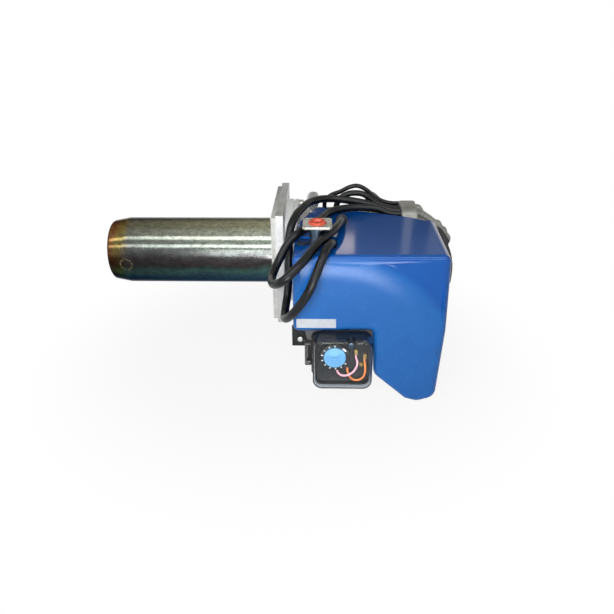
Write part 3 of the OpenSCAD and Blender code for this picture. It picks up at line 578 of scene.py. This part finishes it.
def lid(name, path, back, front, edge, wall, spacing, crown=lambda x, z: 0.0, steps=6):
    """A shell open at the back: side walls, a rounded edge and a crowned front, in millimetres"""
    count = len(path)
    points = [(p.x, back, p.y) for p in path]
    for k in range(steps + 1):
        angle = math.pi / 2 * k / steps
        for p in drawn_in(path, edge * (1 - math.cos(angle))):
            points.append((p.x, front + edge * (1 - math.sin(angle)) - crown(p.x, p.y), p.y))
    faces = []
    for low in range(0, count * (steps + 1), count):
        high = low + count
        for i in range(count):
            after = (i + 1) % count
            faces.append((low + i, low + after, high + after, high + i))
    rim = drawn_in(path, edge)
    margin = drawn_in(path, edge + spacing * .55)
    xs, zs = [p.x for p in rim], [p.y for p in rim]
    field = list(rim)
    rows = int((max(zs) - min(zs)) / (spacing * .866)) + 1
    for row in range(rows):
        z = min(zs) + row * spacing * .866
        x = min(xs) + (row % 2) * spacing / 2
        while x < max(xs):
            if inside(Vector((x, z)), margin):
                field.append(Vector((x, z)))
            x += spacing
    ring = [(i, (i + 1) % count) for i in range(count)]
    flat, _, triangles, _, _, _ = delaunay_2d_cdt(field, ring, [], 1, 0.0001)
    base = len(points)
    points += [(p.x, front - crown(p.x, p.y), p.y) for p in flat]
    faces += [tuple(base + i for i in triangle) for triangle in triangles]
    piece = placed(name, points, faces)
    closed_up(piece)
    applied(piece, "SOLIDIFY", thickness=wall * MM, offset=-1, use_even_offset=True)
    return piece


def prism(points, axis, low, high):
    """A block over a flat outline, used for cutting: axis Z takes (x, y), axis Y takes (x, z)"""
    put = (lambda p, h: (p[0], p[1], h)) if axis == "Z" else (lambda p, h: (p[0], h, p[1]))
    count = len(points)
    corners = [put(p, h) for h in (low, high) for p in points]
    faces = [tuple(range(count)), tuple(range(count, 2 * count))]
    faces += [(i, (i + 1) % count, count + (i + 1) % count, count + i) for i in range(count)]
    block = placed("cutter", corners, faces)
    closed_up(block)
    return block


def box_block(x0, x1, y0, y1, z0, z1):
    return prism([(x0, y0), (x1, y0), (x1, y1), (x0, y1)], "Z", z0, z1)


def round_block(axis, low, high, centre, radius, sides=48):
    angles = [math.tau * i / sides for i in range(sides)]
    ring = [(centre[0] + radius * math.cos(a), centre[1] + radius * math.sin(a)) for a in angles]
    if axis == "X":
        block = prism(ring, "Z", low, high)
        block.data.transform(Matrix(((0, 0, 1, 0), (1, 0, 0, 0), (0, 1, 0, 0), (0, 0, 0, 1))))
        return block
    return prism(ring, axis, low, high)


def cut(piece, *blocks):
    for block in blocks:
        applied(piece, "BOOLEAN", object=block, operation="DIFFERENCE", solver="EXACT")
        bpy.data.objects.remove(block)


class BURNER_OT_camera(Operator):
    """Set the camera where the photograph was taken"""
    bl_idname = "burner.camera"
    bl_label = "Set camera"

    def execute(self, context):
        pitch, yaw, roll = math.radians(27.06), math.radians(-1.82), math.radians(0.47)
        ahead = Vector((math.sin(yaw) * math.cos(pitch), math.cos(yaw) * math.cos(pitch), -math.sin(pitch)))
        right = Vector((math.cos(yaw), -math.sin(yaw), 0))
        down = ahead.cross(right)
        turned_right = right * math.cos(roll) + down * math.sin(roll)
        turned_down = down * math.cos(roll) - right * math.sin(roll)
        data = bpy.data.cameras.new("camera")
        data.sensor_width = 36
        data.lens = 36.35
        camera = bpy.data.objects.new("camera", data)
        context.scene.collection.objects.link(camera)
        axes = Matrix((turned_right, -turned_down, -ahead)).transposed().to_4x4()
        camera.matrix_world = Matrix.Translation((0.0625, -0.8114, 0.3247)) @ axes
        context.scene.camera = camera
        return {"FINISHED"}


class BURNER_OT_stage(Operator):
    """Lay a pale floor and hang the studio lights"""
    bl_idname = "burner.stage"
    bl_label = "Lay stage"

    def lamp(self, context, name, place, size, power, aim=(0.03, -0.05, 0.0), lights=True, mirrored=True,
             tint=(1, 1, 1)):
        """A soft panel that lights surfaces, shows in glossy ones, or both"""
        data = bpy.data.lights.new(name, "AREA")
        data.shape = "RECTANGLE"
        data.size, data.size_y = size
        data.energy = power
        data.color = tint
        lamp = bpy.data.objects.new(name, data)
        context.scene.collection.objects.link(lamp)
        lamp.location = place
        lamp.rotation_euler = (Vector(aim) - Vector(place)).to_track_quat("-Z", "Y").to_euler()
        lamp.visible_camera = False
        lamp.visible_diffuse = lights
        lamp.visible_glossy = mirrored

    def seen(self, tree):
        """1 for the rays that show the background"""
        path = tree.nodes.new("ShaderNodeLightPath")
        shown = sums(tree, "MAXIMUM", path.outputs["Is Camera Ray"], path.outputs["Is Glossy Ray"])
        return sums(tree, "MAXIMUM", shown, path.outputs["Is Transmission Ray"])

    def execute(self, context):
        scene = context.scene
        scene.view_settings.view_transform = "Standard"
        world = bpy.data.worlds.new("studio")
        scene.world = world
        world.use_nodes = True
        tree = world.node_tree
        sky = tree.nodes["Background"]
        _, ahead, up = axes_of(tree, tree.nodes.new("ShaderNodeTexCoord").outputs["Generated"])
        behind = sums(tree, "MULTIPLY", spread(tree, ahead, -.15, .35, 0, 1),
                      spread(tree, up, .20, .30, 0, 1))
        haze = ramp(tree, up, [(.33, (.12, .12, .13)), (.37, (.34, .33, .29)), (.50, (.40, .39, .32)),
                               (.72, (.62, .61, .51))])
        joined(tree, blended(tree, "MIX", behind, (1, 1, 1), haze), sky.inputs["Color"])
        joined(tree, spread(tree, self.seen(tree), 0, 1, 0.24, 1.0, "LINEAR"), sky.inputs["Strength"])
        clear_bench()
        bpy.ops.mesh.primitive_plane_add(size=14, location=(0, 0, CAD_BOX[0][2] - 0.0005))
        floor = context.object
        floor.name = "floor"
        bpy.ops.object.transform_apply(location=True, rotation=True, scale=True)
        material, tree, shader, where = new_finish("pale floor")
        mottle = noise(tree, where, 6, 4)
        tone = ramp(tree, mottle, [(.3, (.60, .60, .60)), (.7, (.64, .64, .64))])
        joined(tree, tone, shader.inputs["Base Color"])
        shader.inputs["Roughness"].default_value = 0.9
        glow = tree.nodes.new("ShaderNodeEmission")
        away = away_from(tree, where, (0.02, -0.03, CAD_BOX[0][2]))
        fade = sums(tree, "MULTIPLY", self.seen(tree), spread(tree, away, 0.16, 0.40, 0.90, 1))
        mixer = tree.nodes.new("ShaderNodeMixShader")
        joined(tree, fade, mixer.inputs[0])
        joined(tree, shader.outputs[0], mixer.inputs[1])
        joined(tree, glow.outputs[0], mixer.inputs[2])
        joined(tree, mixer.outputs[0], tree.nodes["Material Output"].inputs["Surface"])
        floor.data.materials.append(material)
        self.lamp(context, "key panel", (0.0, -0.60, 0.26), (0.24, 0.24), 2.3, mirrored=False)
        self.lamp(context, "right panel", (-0.20, -2.2, 0.38), (0.64, 0.90), 5.0, lights=False)
        self.lamp(context, "low panel", (0.09, -0.75, -0.04), (0.34, 0.14), 2.1, aim=(0.06, -0.17, 0.04),
                  lights=False)
        along_tube = (-0.35, -0.05, 0)
        self.lamp(context, "high strip", (-0.35, -0.74, 1.40), (3.2, 0.30), 14.6, along_tube, lights=False)
        self.lamp(context, "front strip", (-0.35, -1.20, 0.80), (3.2, 0.24), 12, along_tube, lights=False)
        self.lamp(context, "window strip", (0.455, 2.0, 0.85), (0.042, 0.34), 0.024, lights=False)
        self.lamp(context, "pale wall", (0.70, 2.0, 0.85), (0.28, 0.34), 0.085, lights=False)
        self.lamp(context, "warm card", (0.134, 1.83, 0.83), (0.124, 0.10), 0.10, lights=False,
                  tint=(1, .85, .7))
        return {"FINISHED"}


class BURNER_OT_cables(Operator):
    """Run the black cables and the two wires in the switch"""
    bl_idname = "burner.cables"
    bl_label = "Run cables"

    def run(self, context, part, route, radius, finish, slot, stiffness):
        curve = bpy.data.curves.new(part + "_run", "CURVE")
        curve.dimensions = "3D"
        curve.bevel_depth = radius
        curve.bevel_resolution = 6
        curve.resolution_u = 8
        curve.use_fill_caps = True
        spline = curve.splines.new("BEZIER")
        spline.bezier_points.add(len(route) - 1)
        for knot, place in zip(spline.bezier_points, route):
            knot.co = place
            knot.handle_left_type = knot.handle_right_type = "AUTO"
        piece = bpy.data.objects.new(part + "_run", curve)
        context.scene.collection.objects.link(piece)
        context.view_layer.update()
        fitted(piece, grained(finish), slot, part)

    def execute(self, context):
        self.run(context, "cable_a", ROUTE_A, 0.005, "cable jacket", "cable_black", "limp")
        self.run(context, "cable_b", ROUTE_B, 0.005, "cable jacket", "cable_black", "limp")
        self.run(context, "cable_c", ROUTE_C, 0.003, "cable jacket", "cable_black", "medium")
        self.run(context, "cable_d", ROUTE_D, 0.004, "cable jacket", "cable_black", "medium")
        self.run(context, "wire_pink", ROUTE_PINK, 0.0012, "pink sleeve", "wire_pink", "limp")
        self.run(context, "wire_orange", ROUTE_ORANGE, 0.0012, "orange sleeve", "wire_orange", "limp")
        return {"FINISHED"}


class BURNER_OT_tube(Operator):
    """Spin the blast tube with its tapered nose"""
    bl_idname = "burner.tube"
    bl_label = "Spin blast tube"

    def execute(self, context):
        arc = [math.radians(10.5 + 79.5 * k / 8) for k in range(9)]
        outer = [(-209, 45), (-209.5, 44.95), (-210.2, 44.82), (-211, 44.67), (-220, 43)]
        bend_x, bend_r, bend, wall = -228.13, 36.64, 4.77, 1.5
        thin = bend - wall
        outer += [(bend_x - bend * math.sin(a), bend_r + bend * math.cos(a)) for a in arc]
        inner = [(bend_x - thin * math.sin(a), bend_r + thin * math.cos(a)) for a in reversed(arc)]
        inner += [(-211, 43.2), (-209.5, 43.5)]
        straight = [(x, 45) for x in (16.9, -60, -140)]
        profile = straight + outer + [(-233, 32.4), (-232.6, 32), (-231.9, 32), (-231.5, 32.4)] + inner
        profile += [(20, 43.5), (20, 49.2), (19.7, 49.5), (17.3, 49.5), (17, 49.2), (17, 45)]
        piece = turned("blast_tube_spun", profile, "X", (0, 0, 0), 128)
        smooth(piece, 30)
        fitted(piece, passivated_zinc(), "zinc_tube", "blast_tube")
        return {"FINISHED"}


class BURNER_OT_flange(Operator):
    """Round the flange, its gasket and the collar bolts"""
    bl_idname = "burner.flange"
    bl_label = "Dress flange"

    def execute(self, context):
        sizes, colours = context.scene.burner_sizes, context.scene.burner_colours
        cast = bpy.data.materials.get("cast aluminium") or cast_metal(colours.casting)
        dressed("flange_gasket", "gasket_sheet", grained("gasket fibre"), "gasket_fibre", 0.0006)
        dressed("mounting_flange", "flange_casting", cast, "cast_aluminium", sizes.cast_edge, 3)
        dressed("collar_bolts", "collar_bolt_heads", grained("bright zinc"), "zinc_steel", 0.0005)
        return {"FINISHED"}


class BURNER_OT_housing(Operator):
    """Round the fan housing, the motor plate and the intake side"""
    bl_idname = "burner.housing"
    bl_label = "Dress housing"

    def execute(self, context):
        colours = context.scene.burner_colours
        cast = bpy.data.materials.get("cast aluminium") or cast_metal(colours.casting)
        fitted(cast_copy("fan_housing", "housing_casting"), cast, "cast_aluminium", "fan_housing")
        dressed("motor_plate", "motor_plate_pressed", grained("black lacquer"), "black_steel", 0.0008)
        dressed("intake_cowl", "cowl_moulding", grained("black moulding"), "black_plastic", 0.0012, 3)
        dressed("inlet_ring", "inlet_pressing", grained("ground steel"), "zinc_steel", 0.0006)
        dressed("damper_flap", "damper_sheet", grained("bright zinc"), "zinc_steel", 0.0004)
        dressed("damper_knob", "damper_grip", grained("black moulding"), "black_plastic", 0.0012, 3)
        dressed("cowl_screws", "cowl_screw_heads", grained("bright zinc"), "zinc_steel", 0.0005)
        dressed("plate_screws", "plate_screw_heads", grained("bright zinc"), "zinc_steel", 0.0005)
        return {"FINISHED"}


class BURNER_OT_hood(Operator):
    """Form the blue hood with its raised field, notch and holes"""
    bl_idname = "burner.hood"
    bl_label = "Form hood"

    def bush_hole(self):
        """Slanting block for the hole of the cable bush"""
        block = round_block("Z", -30, 30, (0, 0), 7.8)
        slant = Matrix.Rotation(math.acos(5 / 13), 4, "X")
        block.data.transform(Matrix.Translation((.084, -.046, .060)) @ slant)
        return block

    def execute(self, context):
        sizes, colours = context.scene.burner_sizes, context.scene.burner_colours
        rise, slope = sizes.hood_crown / MM, sizes.crown_slope / MM

        def crown(x, z):
            right, up = max(x - FIELD_CENTRE[0], 0), z - FIELD_CENTRE[1]
            depth = min(max((FIELD_RADIUS - math.hypot(right, up)) / slope, 0), 1)
            return rise * (1 - (1 - depth) ** 2)

        path = rounded_path([(25.5, 60, 7), (205, 60, 9), (206, -33, 60), (200, -127, 14), (178, -134, 16),
                             (163, -130, 12), (122.5, -94, 16), (119.5, -33, 5), (25.5, -35, 7)])
        piece = lid("hood_shell", path, 12, -168, sizes.hood_edge / MM, 3, 2.6, crown)
        far_edge = [(20, -58), (28, -58), (50, 4), (61, 6), (166, -31), (190, -47), (216, -47), (216, 24),
                    (20, 24)]
        cut(piece,
            prism(far_edge, "Z", -200, 100),
            box_block(20, 28, -76, 40, -60, 70),
            box_block(19, 32.5, -76, 41, -61, 57),
            box_block(20, 195, -161.5, 40, -160, -20),
            box_block(20, 68, -136, -107, 51, 70),
            box_block(62, 76.5, -144, -107, 50.5, 71),
            self.bush_hole(),
            round_block("X", 190, 215, (-104, 34), 8))
        smooth(piece, 32)
        applied(piece, "WEIGHTED_NORMAL", keep_sharp=True)
        fitted(piece, hood_paint(colours.hood, colours.hood_deep), "hood_blue", "cover_hood")
        tag = box_block(29.7, 76, -173.75, -173.4, -28.8, -17)
        tag.name = "blank_tag"
        softened(tag, 0.0001, 1)
        fitted(tag, grained("paper"), "light_plastic")
        dressed("cable_grommet", "grommet_lip", grained("soft rubber"), "rubber", 0.0008, 3)
        dressed("hood_screws", "hood_screw_heads", grained("bright zinc"), "zinc_steel", 0.0006)
        dressed("reset_button", "reset_cap", grained("red moulding"), "red_plastic", 0.0008, 3)
        return {"FINISHED"}


class BURNER_OT_gas_inlet(Operator):
    """Round the gas pipe and its plate and spin the plug"""
    bl_idname = "burner.gas_inlet"
    bl_label = "Dress gas inlet"

    def execute(self, context):
        colours = context.scene.burner_colours
        dressed("gas_elbow", "gas_pipe_bend", grained("grey steel"), "zinc_steel", 0.0006)
        dressed("gas_plate", "gas_plate_pressed", grained("plate zinc"), "plate_beige", 0.0006)
        profile = [(80.5, 0), (80.5, 7.5), (80.9, 7.9), (83, 7.9), (83, 10.3), (83.3, 10.5), (84.7, 10.5),
                   (85.3, 10.1), (85.5, 9.4), (85.5, 8.6), (85.2, 7.9), (84.2, 7.1), (82.6, 6.2), (81.8, 4.6),
                   (81.7, 2.6), (82.5, 1.6), (82.7, 0)]
        plug = turned("transport_plug", profile, "Z", (*GAS_PORT, 0), 64)
        smooth(plug, 50)
        fitted(plug, moulded("orange moulding", colours.plug, .30), "orange_plastic", "gas_plug")
        return {"FINISHED"}


class BURNER_OT_switch(Operator):
    """Build the pressure switch: capsule, base, clear cover and dial"""
    bl_idname = "burner.switch"
    bl_label = "Build pressure switch"

    def ticks(self, count):
        """White ticks round the dial, and a wide one at its upper right"""
        points, faces = [], []
        for angle, half in [(90 + 26.3 * k, 0.6) for k in range(count)] + [(43, 2.5)]:
            out = Vector((math.cos(math.radians(angle)), math.sin(math.radians(angle))))
            side = Vector((-out.y, out.x))
            base = len(points)
            for y in (-187.15, -186.6):
                for reach, across in ((14.2, -half), (16.2, -half), (16.2, half), (14.2, half)):
                    spot = Vector(DIAL_CENTRE) + out * reach + side * across
                    points.append((spot.x, y, spot.y))
            faces += [tuple(base + i for i in quad) for quad in
                      ((0, 1, 2, 3), (7, 6, 5, 4), (0, 4, 5, 1), (1, 5, 6, 2), (2, 6, 7, 3), (3, 7, 4, 0))]
        piece = placed("dial_ticks", points, faces)
        closed_up(piece)
        return softened(piece, 0.00008, 1)

    def execute(self, context):
        sizes, colours = context.scene.burner_sizes, context.scene.burner_colours
        dressed("switch_capsule", "capsule_pressing", grained("dull tin"), "tin", 0.0010, 3)
        dressed("switch_base", "switch_base_moulding", grained("black moulding"), "black_plastic", 0.0006)
        dressed("switch_body", "switch_body_moulding", grained("black moulding"), "black_plastic", 0.0005)
        dressed("switch_bracket", "bracket_pressed", grained("black lacquer"), "black_steel", 0.0005)
        dressed("bracket_screws", "bracket_screw_heads", grained("bright zinc"), "zinc_steel", 0.0012, 3)
        dressed("switch_clip", "clip_bent", grained("dull clip"), "tin", 0.0012, 3)
        dressed("switch_terminals", "terminal_tabs", grained("dull brass"), "brass", 0.0004)
        dressed("dial_ring", "dial_ring_turned", grained("black moulding"), "black_plastic", 0.0004)
        dressed("cover_screw", "cover_screw_turned", grained("grey steel"), "zinc_steel", 0.0006)
        blue = moulded("dial moulding", colours.dial, .34)
        dressed("switch_dial", "dial_face", blue, "dial_blue", 0.00015)
        path = rounded_path([(49, -33, 11), (119, -33, 11), (119, -99.5, 11), (49, -99.5, 11)], 9)
        cover = lid("clear_cover", path, -175, -198, sizes.cover_edge / MM, 2, 4)
        boss_at = (COVER_SCREW[0], 0, COVER_SCREW[1])
        boss = turned("boss", [(-197, 0), (-197, 4.5), (-183, 4.5), (-183, 0)], "Y", boss_at, 48)
        applied(cover, "BOOLEAN", object=boss, operation="UNION", solver="EXACT")
        bpy.data.objects.remove(boss)
        cut(cover, round_block("Y", -210, -170, COVER_SCREW, 2.3, 32))
        smooth(cover, 40)
        fitted(cover, clear_plastic(), "clear_plastic", "switch_cover")
        cover.visible_shadow = False
        fitted(self.ticks(sizes.dial_ticks), grained("white print"), "light_plastic", body="burner")
        return {"FINISHED"}


class BURNER_OT_inner_parts(Operator):
    """Give every solid that still shows its finish"""
    bl_idname = "burner.inner_parts"
    bl_label = "Finish inner parts"

    finishes = {
        "motor casting": ("motor_shield", "motor_end_cap"),
        "grey enamel": ("motor_can",),
        "bright zinc": ("motor_bolts", "elbow_screws", "control_shelf", "impeller"),
        "ground steel": ("motor_bearings", "motor_shaft"),
        "rotor iron": ("motor_rotor",),
        "pale moulding": ("run_capacitor", "terminal_strip"),
        "black moulding": ("control_box", "ignition_transformer"),
        "grey steel": ("gas_pipe",),
        "scaled steel": ("gas_head", "diffuser_plate", "electrode_clamp"),
        "glazed ceramic": ("ignition_electrode", "ionisation_probe"),
        "soft rubber": ("pressure_hose",),
        "dull tin": ("switch_pillars",),
    }

    def execute(self, context):
        done = set()
        for finish, parts in self.finishes.items():
            for part in parts:
                mesh = PARTS[part].data
                mesh.materials.clear()
                mesh.materials.append(grained(finish))
                done.add(part)
        left = [name for name, node in PARTS.items() if not node.hide_render and name not in done]
        if left:
            raise RuntimeError("no finish for " + ", ".join(left))
        return {"FINISHED"}


STEPS = (BURNER_OT_camera, BURNER_OT_stage, BURNER_OT_cables, BURNER_OT_tube, BURNER_OT_flange,
         BURNER_OT_housing, BURNER_OT_hood, BURNER_OT_gas_inlet, BURNER_OT_switch, BURNER_OT_inner_parts)


class BURNER_PT_bench(Panel):
    """Sizes, colours and the steps that dress the burner"""
    bl_idname = "BURNER_PT_bench"
    bl_label = "Burner"
    bl_space_type = "VIEW_3D"
    bl_region_type = "UI"
    bl_category = "Burner"

    def draw(self, context):
        for group in (context.scene.burner_sizes, context.scene.burner_colours):
            for name in group.__annotations__:
                self.layout.prop(group, name)
        for step in STEPS:
            self.layout.operator(step.bl_idname)


CLASSES = (BurnerSizes, BurnerColours, *STEPS, BURNER_PT_bench)


def register():
    for cls in CLASSES:
        bpy.utils.register_class(cls)
    bpy.types.Scene.burner_sizes = PointerProperty(type=BurnerSizes)
    bpy.types.Scene.burner_colours = PointerProperty(type=BurnerColours)


def unregister():
    del bpy.types.Scene.burner_colours
    del bpy.types.Scene.burner_sizes
    for cls in reversed(CLASSES):
        bpy.utils.unregister_class(cls)


def main():
    register()
    bpy.ops.burner.camera()
    bpy.ops.burner.cables()
    bpy.ops.burner.stage()
    bpy.ops.burner.tube()
    bpy.ops.burner.flange()
    bpy.ops.burner.housing()
    bpy.ops.burner.hood()
    bpy.ops.burner.gas_inlet()
    bpy.ops.burner.switch()
    bpy.ops.burner.inner_parts()
    clear_bench()


if __name__ == "__main__":
    main()
